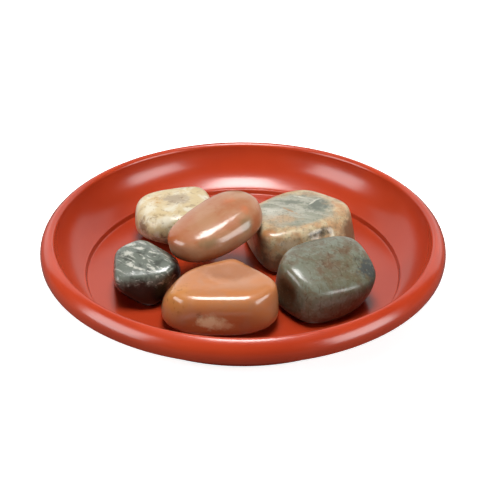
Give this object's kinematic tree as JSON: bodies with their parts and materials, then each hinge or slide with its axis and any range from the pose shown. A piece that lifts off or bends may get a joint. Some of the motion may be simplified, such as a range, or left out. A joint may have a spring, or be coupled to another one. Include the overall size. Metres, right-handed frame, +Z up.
{
  "type": "plant saucer with pebbles",
  "caption": "Round moulded plant saucer with a rolled rim and a recessed flat floor, holding loose polished river pebbles that lift out.",
  "frame": {"origin": "centre of the saucer's round foot, on the surface it stands on", "axes": "+Z up along the saucer's axis, +Y away from the viewer of the picture, +X to the viewer's right"},
  "size_m": [0.2, 0.2, 0.0415],
  "materials": {
    "saucer_plastic": "glossy moulded terracotta red",
    "pebble_back_right_stone": "tumbled, greenish grey with cream and orange bands",
    "pebble_back_left_stone": "tumbled, cream with ochre flecks",
    "pebble_front_stone": "polished orange brown with a pale patch",
    "pebble_right_stone": "polished grey green, mottled",
    "pebble_left_stone": "tumbled dark grey with white streaks",
    "pebble_top_stone": "polished pinkish brown"
  },
  "bodies": {
    "saucer": {"saucer": "saucer_plastic"},
    "back_right": {"pebble_back_right": "pebble_back_right_stone"},
    "back_left": {"pebble_back_left": "pebble_back_left_stone"},
    "front": {"pebble_front": "pebble_front_stone"},
    "right": {"pebble_right": "pebble_right_stone"},
    "left": {"pebble_left": "pebble_left_stone"},
    "top": {"pebble_top": "pebble_top_stone"}
  },
  "joints": [
    {"name": "back_right_lift", "type": "slide", "parent": "saucer", "child": "back_right", "axis": [0.6275, 0.4394, 0.6428], "range_m": [0, 0.12]},
    {"name": "back_left_lift", "type": "slide", "parent": "saucer", "child": "back_left", "axis": [-0.5495, 0.445, 0.7071], "range_m": [0, 0.12]},
    {"name": "front_lift", "type": "slide", "parent": "saucer", "child": "front", "axis": [-0.1861, -0.7195, 0.6691], "range_m": [0, 0.12]},
    {"name": "right_lift", "type": "slide", "parent": "saucer", "child": "right", "axis": [0.5495, -0.445, 0.7071], "range_m": [0, 0.12]},
    {"name": "left_lift", "type": "slide", "parent": "saucer", "child": "left", "axis": [-0.6409, -0.2988, 0.7071], "range_m": [0, 0.12]},
    {"name": "top_lift", "type": "slide", "parent": "saucer", "child": "top", "axis": [0, 0, 1], "range_m": [0, 0.08]}
  ]
}
